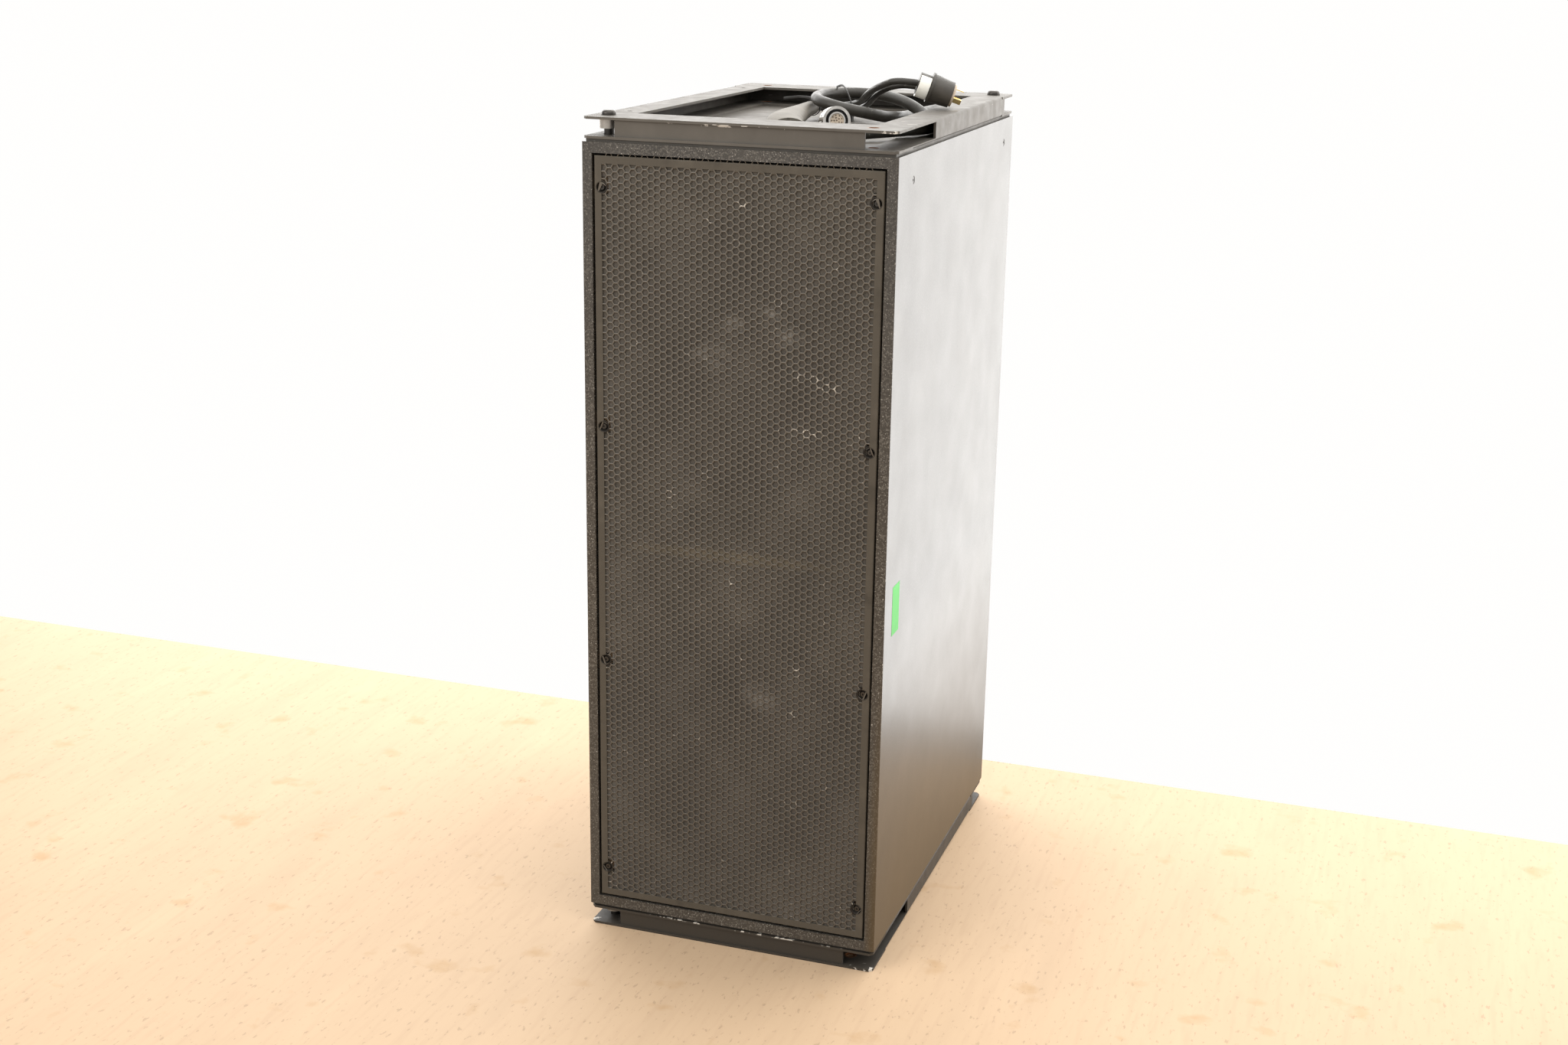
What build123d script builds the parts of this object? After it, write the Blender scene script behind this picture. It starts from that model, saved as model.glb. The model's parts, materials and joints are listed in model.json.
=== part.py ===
from build123d import *
import os
from math import pi, tan

# Touring loudspeaker cabinet with two 18 inch drivers, stood on its end, in millimetres.
# +X is the cabinet's right side, +Y points to its back, +Z is up.
# The origin is on the floor, under the middle of the footprint.

# ---- driving dimensions ----
WIDTH = 508.0
DEPTH = 762.0
HEIGHT = 1372.0            # floor to the top frame's upper face
FRAME_H = 38.0             # end plate and rigging frame together, at each end
PLATE_T = 4.5              # end plate between the box and the rigging frame
PLATE_INSET = 5.5
WALL = 17.0                # plywood
BAFFLE_T = 24.0
BAFFLE_SET_BACK = 60.0
REAR_SET_BACK = 30.0
EDGE_R = 3.0

GRILLE_GAP = 3.5
GRILLE_T = 1.5
GRILLE_RIM = 12.0
GRILLE_SET_BACK = 1.0
FOAM_T = 8.0
CUP_R = 7.75
CUP_DEPTH = 5.0
CUP_WALL = 1.2
SCREW_LENGTH = 20.0
GRILLE_SCREW_X = 222.0
GRILLE_SCREW_HEIGHTS = (72.0, 449.0, 846.0, 1227.0)   # above the box's underside

FLANGE_T = 4.0
FRONT_FLANGE_W = 82.0
SIDE_FLANGE_W = 57.0
FLANGE_INSET = 2.0
WEB_SET_BACK = 3.0
WEB_HALF = 200.0
WEB_NOTCH = 218.0          # front corner opening along a side rail
WEB_BACK_NOTCH = 68.0
BEND_R = 5.0
CORNER_CUT = 6.0
LINK_X = 203.0             # holes at the open corners
LINK_Y = 40.0
LINK_R = 8.0
BOLT_X = 225.0             # bolts at the two braced corners
SPACER_R = 15.0
SPACER_H = 16.0
BOLT_HEAD_R = 11.2
BOLT_HEAD_H = 8.0
SMALL_HOLE_R = 4.0

DRIVER_R = 228.5
CUTOUT_R = 211.0
FLANGE_LIP_R = 203.0
CONE_R = 186.0
FORMER_R = 50.5
DRIVER_DEPTH = 140.0
CONE_T = 2.5
DRIVER_BOLTS = 8
BOLT_CIRCLE_R = 218.0
BOLT_R = 3.0
CLEAR = 0.15

PORT_R = 48.0
PORT_T = 3.0
PORT_LENGTH = 160.0
PORT_X = 150.0
PORT_OFFSET = 74.0

AMP_W = 380.0
AMP_H = 540.0
AMP_T = 4.0
AMP_OPENING = (340.0, 500.0)
SHIELD_DEPTH = 110.0
SHIELD_T = 1.5
FIN_COUNT = 18
SOCKET_Z = HEIGHT / 2 - 205.0
MAINS_X = (-130.0, -62.0)
MAINS_R = 20.0
SIGNAL_X = (10.0, 52.0)
SIGNAL_R = 11.5
ROCKER_X = 112.0
ROCKER_SIZE = (22.0, 30.0)
ROCKER_TILT = 9.0
LENS_X = 150.0

TRUNK_R = 9.5
MAINS_LEAD_R = 5.5
SIGNAL_LEAD_R = 4.75
PIGTAIL_R = 6.5
PLUG_AXIS = (0.9, 0.3, -0.32)
SHELL_R = 18.0
INSERT_R = 11.2

# ---- levels worked out from them ----
FRONT = -DEPTH / 2
BACK = DEPTH / 2
BOX_LOW = FRAME_H
BOX_HIGH = HEIGHT - FRAME_H
BOX_H = BOX_HIGH - BOX_LOW
MID_Z = HEIGHT / 2
INNER_X = WIDTH / 2 - WALL
INNER_LOW = BOX_LOW + WALL
INNER_HIGH = BOX_HIGH - WALL
BAFFLE_Y = FRONT + BAFFLE_SET_BACK
BAFFLE_BACK = BAFFLE_Y + BAFFLE_T
REAR_OUT = BACK - REAR_SET_BACK
REAR_IN = REAR_OUT - WALL
GRILLE_Y = FRONT + GRILLE_SET_BACK
GRILLE_X = INNER_X - GRILLE_GAP
GRILLE_LOW = INNER_LOW + GRILLE_GAP
GRILLE_HIGH = INNER_HIGH - GRILLE_GAP
WELL_Z = BOX_HIGH + PLATE_T
RAIL_H = FRAME_H - PLATE_T
DRIVERS = {"upper": BOX_LOW + BOX_H * 0.75, "lower": BOX_LOW + BOX_H * 0.25}

MIN3 = (Align.CENTER, Align.CENTER, Align.MIN)
nodes = {}


def slab(x, y, z):
    """A block from low and high values along each axis."""
    size = [b - a for a, b in (x, y, z)]
    mid = [(a + b) / 2 for a, b in (x, y, z)]
    return Pos(*mid) * Box(*size)


def rod(start, axis, radius, length):
    """A cylinder that starts at a point and runs along an axis."""
    return Plane(origin=start, z_dir=axis).location * Cylinder(radius, length, align=MIN3)


def taper(start, axis, r0, r1, length):
    """A truncated cone that starts at a point and runs along an axis."""
    return Plane(origin=start, z_dir=axis).location * Cone(r0, r1, length, align=MIN3)


def ring(start, axis, outer, inner, length):
    """A tube that starts at a point and runs along an axis."""
    return rod(start, axis, outer, length) - rod(start, axis, inner, length)


def group(shapes):
    """Separate solids kept in one node."""
    solids = [s for shape in shapes for s in shape.solids()]
    return Compound(children=solids)


def along(start, axis, distance):
    """The point at a distance from a start point along an axis."""
    step = Vector(*axis).normalized() * distance
    return tuple(Vector(*start) + step)


# ---- plywood box ----
def side_panels():
    for name, side in (("side_panel_left", -1), ("side_panel_right", 1)):
        x = sorted((side * INNER_X, side * WIDTH / 2))
        panel = slab(x, (FRONT, BACK), (BOX_LOW, BOX_HIGH))
        outer = [e for e in panel.edges().filter_by(Axis.Z) if abs(e.center().X) > INNER_X + 1]
        panel = fillet(outer, EDGE_R)
        for y, z in side_screw_places():
            panel -= rod((side * WIDTH / 2, y, z), (-side, 0, 0), 3.0 + CLEAR, WALL)
            panel -= taper((side * WIDTH / 2, y, z), (-side, 0, 0), 6.5, 3.0 + CLEAR, 3.5)
        nodes[name] = panel


def side_screw_places():
    return [(FRONT + 86, BOX_HIGH - 41.5), (FRONT + 693, BOX_HIGH - 41.5)]


def side_screws():
    screws = []
    for side in (-1, 1):
        for y, z in side_screw_places():
            top = (side * (WIDTH / 2 - 0.6), y, z)
            screw = rod(top, (-side, 0, 0), 3.0, 16.0)
            screw += taper(top, (-side, 0, 0), 5.9, 3.0, 3.0)
            screw -= rod(top, (-side, 0, 0), 1.8, 1.8)
            screws.append(screw)
    nodes["side_screws"] = group(screws)


def end_panels():
    across = (-INNER_X, INNER_X)
    nodes["end_panel_bottom"] = slab(across, (FRONT, BACK), (BOX_LOW, INNER_LOW))
    nodes["end_panel_top"] = slab(across, (FRONT, BACK), (INNER_HIGH, BOX_HIGH))


def bolt_places(z):
    places = []
    for i in range(DRIVER_BOLTS):
        p = Vector(BOLT_CIRCLE_R, 0, 0).rotate(Axis.Y, 360 / DRIVER_BOLTS * (i + 0.5))
        places.append((p.X, z + p.Z))
    return places


def port_places():
    return [(sx * PORT_X, MID_Z + sz * PORT_OFFSET) for sx in (-1, 1) for sz in (-1, 1)]


def baffle():
    board = slab((-INNER_X, INNER_X), (BAFFLE_Y, BAFFLE_BACK), (INNER_LOW, INNER_HIGH))
    for z in DRIVERS.values():
        board -= rod((0, BAFFLE_Y, z), (0, 1, 0), CUTOUT_R, BAFFLE_T)
        for x, bz in bolt_places(z):
            board -= rod((x, BAFFLE_Y, bz), (0, 1, 0), BOLT_R + CLEAR, BAFFLE_T)
    for x, z in port_places():
        board -= rod((x, BAFFLE_Y, z), (0, 1, 0), PORT_R + PORT_T, BAFFLE_T)
    nodes["baffle"] = board


def ports():
    tubes = [ring((x, BAFFLE_Y, z), (0, 1, 0), PORT_R + PORT_T, PORT_R, PORT_LENGTH)
             for x, z in port_places()]
    nodes["port_tubes"] = group(tubes)


def rear_panel():
    board = slab((-INNER_X, INNER_X), (REAR_IN, REAR_OUT), (INNER_LOW, INNER_HIGH))
    w, h = AMP_OPENING
    board -= slab((-w / 2, w / 2), (REAR_IN, REAR_OUT), (MID_Z - h / 2, MID_Z + h / 2))
    for x, z in amp_screw_places():
        board -= rod((x, REAR_IN, z), (0, 1, 0), 2.5 + CLEAR, WALL)
    nodes["rear_panel"] = board


def mid_brace():
    z = (MID_Z - WALL / 2, MID_Z + WALL / 2)
    board = slab((-INNER_X, INNER_X), (BAFFLE_BACK, REAR_IN), z)
    notch = AMP_OPENING[0] / 2 + 8
    board -= slab((-notch, notch), (REAR_OUT - SHIELD_DEPTH - 12, REAR_IN), z)
    for side in (-1, 1):
        window = slab((-87.5, 87.5), (-190, 190), z)
        window = fillet(window.edges().filter_by(Axis.Z), 25)
        board -= Pos(side * 117.5, -70, 0) * window
    nodes["mid_brace"] = board


# ---- grille ----
def grille_screw_places():
    heights = [BOX_LOW + h for h in GRILLE_SCREW_HEIGHTS]
    return [(side * GRILLE_SCREW_X, z) for side in (-1, 1) for z in heights]


def grille():
    skin = slab((-GRILLE_X, GRILLE_X), (GRILLE_Y, GRILLE_Y + GRILLE_RIM), (GRILLE_LOW, GRILLE_HIGH))
    skin -= slab((-GRILLE_X + GRILLE_T, GRILLE_X - GRILLE_T), (GRILLE_Y + GRILLE_T, GRILLE_Y + GRILLE_RIM),
                 (GRILLE_LOW + GRILLE_T, GRILLE_HIGH - GRILLE_T))
    for x, z in grille_screw_places():
        at = (x, GRILLE_Y, z)
        skin += rod(at, (0, 1, 0), CUP_R + CUP_WALL, CUP_DEPTH + CUP_WALL)
        skin -= rod(at, (0, 1, 0), CUP_R, CUP_DEPTH)
        skin -= rod(at, (0, 1, 0), 2.5 + CLEAR, CUP_DEPTH + CUP_WALL)
    nodes["grille_panel"] = skin


def foam():
    edge = GRILLE_T + 0.5
    pad = slab((-GRILLE_X + edge, GRILLE_X - edge), (GRILLE_Y + GRILLE_T, GRILLE_Y + GRILLE_T + FOAM_T),
               (GRILLE_LOW + edge, GRILLE_HIGH - edge))
    for x, z in grille_screw_places():
        side = x / abs(x)
        ends = sorted((x - side * (CUP_R + CUP_WALL + 0.5), side * GRILLE_X))
        pad -= slab(ends, (GRILLE_Y, GRILLE_Y + GRILLE_RIM), (z - 9.5, z + 9.5))
    nodes["grille_foam"] = pad


def grille_blocks():
    blocks = []
    for x, z in grille_screw_places():
        side = x / abs(x)
        ends = sorted((side * 211.0, side * INNER_X))
        block = slab(ends, (GRILLE_Y + GRILLE_RIM, BAFFLE_Y), (z - 20, z + 20))
        block -= rod((x, GRILLE_Y + GRILLE_RIM, z), (0, 1, 0), 2.5 + CLEAR, 30)
        blocks.append(block)
    nodes["grille_blocks"] = group(blocks)


def panel_screw(seat, inward):
    """The one screw used for the grille and for the amplifier plate; the seat is under its head."""
    outward = tuple(-c for c in inward)
    screw = rod(seat, inward, 2.5, SCREW_LENGTH) + rod(seat, outward, 5.5, 1.0)
    screw += taper(along(seat, outward, 1.0), outward, 5.5, 4.2, 1.4)
    return screw - rod(along(seat, outward, 2.4), inward, 1.5, 1.8)


def panel_screws():
    grille_seats = [(x, GRILLE_Y + CUP_DEPTH, z) for x, z in grille_screw_places()]
    amp_seats = [(x, REAR_OUT + AMP_T, z) for x, z in amp_screw_places()]
    screws = [panel_screw(seat, (0, 1, 0)) for seat in grille_seats]
    screws += [panel_screw(seat, (0, -1, 0)) for seat in amp_seats]
    nodes["panel_screws"] = group(screws)


# ---- drivers ----
def revolved(points, z):
    """A turned piece about a driver's axis, from (radius, y) points in order."""
    outline = make_face(Polyline(*[(r, y, 0) for r, y in points], close=True))
    return Pos(0, 0, z) * revolve(outline, Axis.Y)


def basket(z):
    """Cast basket: a front ring, a cone-shaped shell with six windows, and a back ring."""
    y0 = BAFFLE_Y - 10
    back = BAFFLE_Y + DRIVER_DEPTH
    points = [(DRIVER_R, y0), (DRIVER_R, BAFFLE_Y), (CUTOUT_R - 3, BAFFLE_Y), (120, back),
              (FORMER_R + 8, back), (FORMER_R + 8, back - 6), (112, back - 6),
              (FLANGE_LIP_R, BAFFLE_Y - 2), (FLANGE_LIP_R, y0)]
    shell = revolved(points, z)
    for i in range(6):
        window = slab((-38, 38), (BAFFLE_Y + 22, back - 22), (100, 230))
        shell -= Pos(0, 0, z) * (Rot(0, 60 * i, 0) * window)
    for x, bz in bolt_places(z):
        shell -= rod((x, y0, bz), (0, 1, 0), BOLT_R + CLEAR, 10)
    return shell


def cone(z):
    """Paper cone with its dust cap and voice coil former, one moving piece."""
    y_edge = BAFFLE_Y - 6
    y_neck = BAFFLE_Y + 78
    former_end = BAFFLE_Y + DRIVER_DEPTH + 14
    cap_y = BAFFLE_Y + 38
    inner = FORMER_R - 1.5
    points = [(CONE_R, y_edge), (CONE_R, y_edge + CONE_T * 1.6), (FORMER_R, y_neck + CONE_T * 1.6),
              (FORMER_R, former_end), (inner, former_end), (inner, y_neck)]
    shell = revolved(points, z)
    dome = revolved([(0.0, cap_y), (30.0, cap_y + 3), (52.0, cap_y + 12), (70.0, cap_y + 29),
                     (70.0, cap_y + 32), (50.0, cap_y + 15), (29.0, cap_y + 6), (0.0, cap_y + 3)], z)
    return shell + dome


def suspension(z):
    """Half-roll rubber surround at the cone's edge, and the corrugated spider at its neck."""
    mid = (CONE_R + FLANGE_LIP_R) / 2
    outer = (FLANGE_LIP_R - CONE_R) / 2 - 0.4
    face = Pos(mid, BAFFLE_Y - 6, 0) * (Circle(outer) - Circle(outer - 1.6))
    face -= Pos(mid, BAFFLE_Y - 6 + outer, 0) * Rectangle(4 * outer, 2 * outer)
    roll = Pos(0, 0, z) * revolve(face, Axis.Y)
    y = BAFFLE_Y + DRIVER_DEPTH - 20
    radii = [FORMER_R + 0.4, 62, 73, 84, 95, 106, 118]
    folds = [(r, y + (3 if i % 2 else 0)) for i, r in enumerate(radii)]
    spider = revolved(folds + [(r, fold_y + 1.2) for r, fold_y in reversed(folds)], z)
    return group([roll, spider])


def motor(z):
    """Front plate, magnet ring and back plate with its pole piece."""
    y = BAFFLE_Y + DRIVER_DEPTH
    front_plate = ring((0, y, z), (0, 1, 0), 100, FORMER_R + 0.8, 10)
    magnet = ring((0, y + 10, z), (0, 1, 0), 110, 60, 38)
    back_plate = rod((0, y + 48, z), (0, 1, 0), 100, 12)
    back_plate += rod((0, y - 2, z), (0, 1, 0), FORMER_R - 2.3, 50)
    return group([front_plate, magnet, back_plate])


def drivers():
    bolts = []
    for name, z in DRIVERS.items():
        nodes[name + "_basket"] = basket(z)
        nodes[name + "_cone"] = cone(z)
        nodes[name + "_suspension"] = suspension(z)
        nodes[name + "_motor"] = motor(z)
        for x, bz in bolt_places(z):
            bolt = rod((x, BAFFLE_Y - 10, bz), (0, 1, 0), BOLT_R, 34)
            bolt += rod((x, BAFFLE_Y - 10, bz), (0, -1, 0), 5.5, 4)
            bolts.append(bolt)
    nodes["driver_bolts"] = group(bolts)


# ---- rigging frames ----
def end_plates():
    x = WIDTH / 2 - PLATE_INSET
    y = (FRONT + PLATE_INSET, BACK - PLATE_INSET)
    nodes["end_plate_top"] = slab((-x, x), y, (BOX_HIGH, WELL_Z))
    nodes["end_plate_bottom"] = slab((-x, x), y, (BOX_LOW - PLATE_T, BOX_LOW))


def cross_rail(end, low):
    """Front or back rail: two wide flanges joined by a web, open at every corner but the back left one."""
    x = WIDTH / 2 - FLANGE_INSET
    outer = end * (DEPTH / 2 - FLANGE_INSET / 2)
    y = sorted((outer, outer - end * FRONT_FLANGE_W))
    high = low + RAIL_H
    rail = None
    for z in ((low, low + FLANGE_T), (high - FLANGE_T, high)):
        flange = slab((-x, x), y, z)
        tips = [e for e in flange.edges().filter_by(Axis.Z) if abs(e.center().Y - outer) < 1]
        flange = chamfer(tips, CORNER_CUT)
        rail = flange if rail is None else rail + flange
    web_y = sorted((outer - end * WEB_SET_BACK, outer - end * (WEB_SET_BACK + FLANGE_T)))
    web_left = -x + CORNER_CUT if end > 0 else -WEB_HALF
    rail += slab((web_left, WEB_HALF), web_y, (low, high))
    for hole_x in (end * BOLT_X, -end * LINK_X):
        rail -= rod((hole_x, end * (DEPTH / 2 - LINK_Y), low), (0, 0, 1), LINK_R, RAIL_H)
    return rail


def side_rail(side, low):
    """Side rail: a folded channel with its web outside and a long opening at the front corner."""
    high = low + RAIL_H
    outer = side * (WIDTH / 2 - FLANGE_INSET)
    x = sorted((outer, outer - side * SIDE_FLANGE_W))
    y0 = FRONT + FLANGE_INSET / 2 + FRONT_FLANGE_W
    y1 = -y0
    rail = slab(x, (y0, y1), (low, high))
    outside = [e for e in rail.edges().filter_by(Axis.Y) if abs(e.center().X - outer) < 1]
    rail = fillet(outside, BEND_R)
    inside = sorted((outer - side * FLANGE_T, outer - side * (SIDE_FLANGE_W + 5)))
    rail -= slab(inside, (y0, y1), (low + FLANGE_T, high - FLANGE_T))
    web_x = sorted((outer, outer - side * (FLANGE_T + 1)))
    gap = (low + FLANGE_T, high - FLANGE_T)
    rail -= slab(web_x, (y0, FRONT + WEB_NOTCH), gap)
    tab_x = sorted((outer, outer - side * FLANGE_T))
    back_web = BACK - FLANGE_INSET / 2 - WEB_SET_BACK - FLANGE_T
    rail += slab(tab_x, (y1, BACK - WEB_BACK_NOTCH if side > 0 else back_web), gap)
    return rail


def rails():
    for level, low in (("top", WELL_Z), ("bottom", 0.0)):
        nodes["rail_" + level + "_front"] = cross_rail(-1, low)
        nodes["rail_" + level + "_back"] = cross_rail(1, low)
        for name, side in (("left", -1), ("right", 1)):
            rail = side_rail(side, low)
            if level == "top" and name == "left":
                for y in (FRONT + 114, FRONT + 641):
                    rail -= rod((side * 221.0, y, HEIGHT - FLANGE_T), (0, 0, 1), SMALL_HOLE_R, FLANGE_T)
            nodes["rail_" + level + "_" + name] = rail


def corner_bolts():
    """Bolts and spacers that brace two opposite corners of each frame; the lower ones end flush."""
    bolts = []
    spacers = []
    for side, end in ((-1, -1), (1, 1)):
        x = side * BOLT_X
        y = end * (DEPTH / 2 - LINK_Y)
        bolt = rod((x, y, WELL_Z), (0, 0, 1), LINK_R - CLEAR, RAIL_H)
        head = rod((x, y, HEIGHT), (0, 0, 1), BOLT_HEAD_R, BOLT_HEAD_H)
        bolts.append(bolt + fillet(head.edges().sort_by(Axis.Z)[-1], 5.5))
        bolts.append(rod((x, y, 0.5), (0, 0, 1), LINK_R - CLEAR, RAIL_H - 0.5))
        for under_flange in (HEIGHT - FLANGE_T, RAIL_H - FLANGE_T):
            spacers.append(ring((x, y, under_flange), (0, 0, -1), SPACER_R, LINK_R, SPACER_H))
    nodes["corner_bolts"] = group(bolts)
    nodes["corner_spacers"] = group(spacers)


# ---- rear amplifier module ----
def amp_screw_places():
    x = AMP_W / 2 - 10
    heights = [MID_Z + i * (AMP_H / 2 - 10) / 2 for i in (-2, -1, 0, 1, 2)]
    return [(side * x, z) for side in (-1, 1) for z in heights]


def amp_plate():
    y = (REAR_OUT, REAR_OUT + AMP_T)
    plate = slab((-AMP_W / 2, AMP_W / 2), y, (MID_Z - AMP_H / 2, MID_Z + AMP_H / 2))
    plate = fillet(plate.edges().filter_by(Axis.Y), 8)
    for x, z in amp_screw_places():
        plate -= rod((x, REAR_OUT, z), (0, 1, 0), 2.5 + CLEAR, AMP_T)
    for x in MAINS_X:
        plate -= rod((x, REAR_OUT, SOCKET_Z), (0, 1, 0), MAINS_R + CLEAR, AMP_T)
    for x in SIGNAL_X:
        plate -= rod((x, REAR_OUT, SOCKET_Z), (0, 1, 0), SIGNAL_R + CLEAR, AMP_T)
    w, h = ROCKER_SIZE[0] / 2 + 2.3, ROCKER_SIZE[1] / 2 + 2.3
    plate -= slab((ROCKER_X - w, ROCKER_X + w), y, (SOCKET_Z - h, SOCKET_Z + h))
    plate -= rod((LENS_X, REAR_OUT, SOCKET_Z), (0, 1, 0), 3 + CLEAR, AMP_T)
    nodes["amp_plate"] = plate


def heat_sink():
    y = REAR_OUT + AMP_T
    z = (MID_Z - 70, MID_Z + 230)
    sink = slab((-140, 140), (y, y + 5), z)
    for i in range(FIN_COUNT):
        x = -139 + 278 * i / (FIN_COUNT - 1)
        sink += slab((x - 1, x + 1), (y + 5, BACK - 3), z)
    nodes["heat_sink"] = sink


def amp_inside():
    w, h = AMP_OPENING[0] / 2 - 5, AMP_OPENING[1] / 2 - 5
    y = (REAR_OUT - SHIELD_DEPTH, REAR_OUT)
    case = slab((-w, w), y, (MID_Z - h, MID_Z + h))
    w, h = w - SHIELD_T, h - SHIELD_T
    case -= slab((-w, w), (y[0] + SHIELD_T, y[1]), (MID_Z - h, MID_Z + h))
    nodes["amp_shield"] = case
    board = slab((-130, 130), (REAR_OUT - 26, REAR_OUT - 24), (MID_Z + 10, MID_Z + 220))
    spreader = slab((-130, 130), (REAR_OUT - 24, REAR_OUT), (MID_Z + 100, MID_Z + 118))
    nodes["amp_board"] = board + spreader
    nodes["transformer"] = ring((0, REAR_OUT, MID_Z - 78), (0, -1, 0), 62, 16, 58)


def sockets():
    y = REAR_OUT
    mains = []
    for x in MAINS_X:
        body = rod((x, y - 38, SOCKET_Z), (0, 1, 0), MAINS_R, 38 + AMP_T)
        body += rod((x, y + AMP_T, SOCKET_Z), (0, 1, 0), MAINS_R + 6, 5)
        body -= rod((x, y - 20, SOCKET_Z), (0, 1, 0), MAINS_R - 4, 40)
        body += rod((x, y - 21, SOCKET_Z), (0, 1, 0), 5, 14)
        mains.append(body)
    nodes["mains_sockets"] = group(mains)
    signal = []
    for x in SIGNAL_X:
        body = rod((x, y - 22, SOCKET_Z), (0, 1, 0), SIGNAL_R, 22 + AMP_T)
        flange = slab((x - 13, x + 13), (y + AMP_T, y + AMP_T + 2.5), (SOCKET_Z - 15.5, SOCKET_Z + 15.5))
        body += fillet(flange.edges().filter_by(Axis.Y), 3)
        body -= rod((x, y - 12, SOCKET_Z), (0, 1, 0), SIGNAL_R - 1.8, 30)
        signal.append(body)
    nodes["signal_sockets"] = group(signal)
    nodes["status_lens"] = rod((LENS_X, y - 4, SOCKET_Z), (0, 1, 0), 3, 4 + AMP_T + 2)


def power_rocker():
    w, h = ROCKER_SIZE[0] / 2, ROCKER_SIZE[1] / 2
    y = REAR_OUT

    def block(margin, depths):
        return slab((ROCKER_X - w - margin, ROCKER_X + w + margin), depths,
                    (SOCKET_Z - h - margin, SOCKET_Z + h + margin))

    frame = block(4, (y + AMP_T, y + AMP_T + 2))
    frame = fillet(frame.edges().filter_by(Axis.Y), 2)
    frame += block(2, (y - 20, y + AMP_T))
    frame -= block(0.4, (y - 18, y + AMP_T + 2))
    nodes["rocker_frame"] = frame
    corners = ((-h + 1, -6), (h - 1, -6), (h - 1, 3.5), (0, 1), (-h + 1, 3.5))
    outline = make_face(Polyline(*corners, close=True))
    across = Plane(origin=(ROCKER_X - w + 0.2, y + AMP_T, SOCKET_Z), x_dir=(0, 0, -1), z_dir=(1, 0, 0))
    button = across.location * (Rot(0, 0, ROCKER_TILT) * extrude(outline, 2 * w - 0.4))
    nodes["power_rocker"] = button


# ---- cable loom in the top frame's well ----
# Points are (x, distance behind the front face, height above the end plate).
TRUNK_ROUTE = [
    (146, 655, 11), (137, 608, 10.5), (131, 545, 10), (127, 470, 10.5), (118, 412, 14.5),
    (97, 364, 24), (53, 346, 33.5), (11, 366, 40.5), (-9, 410, 43), (-7, 460, 44), (21, 502, 44.8),
    (66, 510, 43.8), (109, 484, 41), (146, 456, 33), (178, 434, 18.5), (204, 398, 14.5),
    (222, 344, 14.5), (227, 300, 14.5), (226, 252, 15), (206, 208, 15.5), (172, 170, 14),
    (130, 136, 11), (86, 114, 11.5), (48, 124, 14), (30, 156, 16)]
MAINS_ROUTE = [
    (-19, 441, 22), (-26, 474, 22.5), (-14, 505, 21), (17, 516, 22), (45, 496, 30), (65, 454, 43),
    (88, 413, 57), (114, 386, 69), (144, 371, 80), (176, 382, 75)]
SIGNAL_ROUTE = [
    (-30, 439, 22), (-37, 476, 21), (-27, 520, 14.5), (8, 538, 13), (43, 515, 19), (67, 477, 31),
    (87, 439, 46), (110, 414, 60), (136, 404, 68), (160, 408, 68), (180, 430, 62)]
PIGTAIL_ROUTE = [
    (62, 255, 17), (47, 280, 13), (33, 318, 9), (26, 360, 7.5), (26, 404, 7.5), (30, 446, 8)]
BOOT_SECTIONS = [
    (30, 156, 16, 27, 15), (8, 200, 17.5, 30, 16.5), (-6, 255, 18.5, 28, 16.5), (-14, 325, 19.5, 20, 15),
    (-20, 385, 21, 15, 13), (-24, 440, 22, 12, 11.5)]


def well_point(point):
    x, y, z = point[:3]
    return (x, FRONT + y, WELL_Z + z)


def lead(name, route, radius):
    """A lead as straight runs joined by tangent arcs as large as the runs allow; prints the arcs' radii."""
    points = [Vector(*well_point(p)) for p in route]
    radii = []
    for a, b, c in zip(points, points[1:], points[2:]):
        turn = (b - a).get_angle(c - b) * pi / 180
        radii.append(0.45 * min((b - a).length, (c - b).length) / tan(turn / 2))
    path = FilletPolyline(*points, radius=radii)
    start = Plane(origin=points[0], z_dir=points[1] - points[0])
    tube = sweep(start * Circle(radius), path=path)
    expected = pi * radius ** 2 * path.length
    print(name, "length", round(path.length, 1), "volume ratio", round(tube.volume / expected, 3))
    print("   least radius", round(min(radii)), [round(r) for r in radii])
    nodes[name] = tube


def leads():
    lead("trunk_lead", TRUNK_ROUTE, TRUNK_R)
    lead("mains_lead", MAINS_ROUTE, MAINS_LEAD_R)
    lead("signal_lead", SIGNAL_ROUTE, SIGNAL_LEAD_R)
    lead("pigtail_lead", PIGTAIL_ROUTE, PIGTAIL_R)


def lead_end(route, first=False):
    """The point where a lead ends, and the direction that it points there."""
    a, b = (route[1], route[0]) if first else (route[-2], route[-1])
    a, b = Vector(*well_point(a)), Vector(*well_point(b))
    return tuple(b), tuple((b - a).normalized())


def glands():
    """Outlet blocks on the end plate, each with a tapered strain relief."""
    made = []
    outlets = ((TRUNK_ROUTE, True, TRUNK_R, 17), (PIGTAIL_ROUTE, False, PIGTAIL_R, 11))
    for route, first, radius, half in outlets:
        tip, out = lead_end(route, first)
        relief = taper(tip, out, radius + 1.0, radius + 3.2, 14)
        x, y, _ = along(tip, out, 12)
        block = slab((x - half, x + half), (y, y + 10), (WELL_Z, WELL_Z + 2 * half - 8))
        relief -= slab((x - 40, x + 40), (y - 40, y + 40), (WELL_Z - 20, WELL_Z))
        relief -= slab((x - 40, x + 40), (y + 10, y + 40), (WELL_Z - 20, WELL_Z + 60))
        made.append(block + relief)
    nodes["lead_glands"] = group(made)


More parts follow.
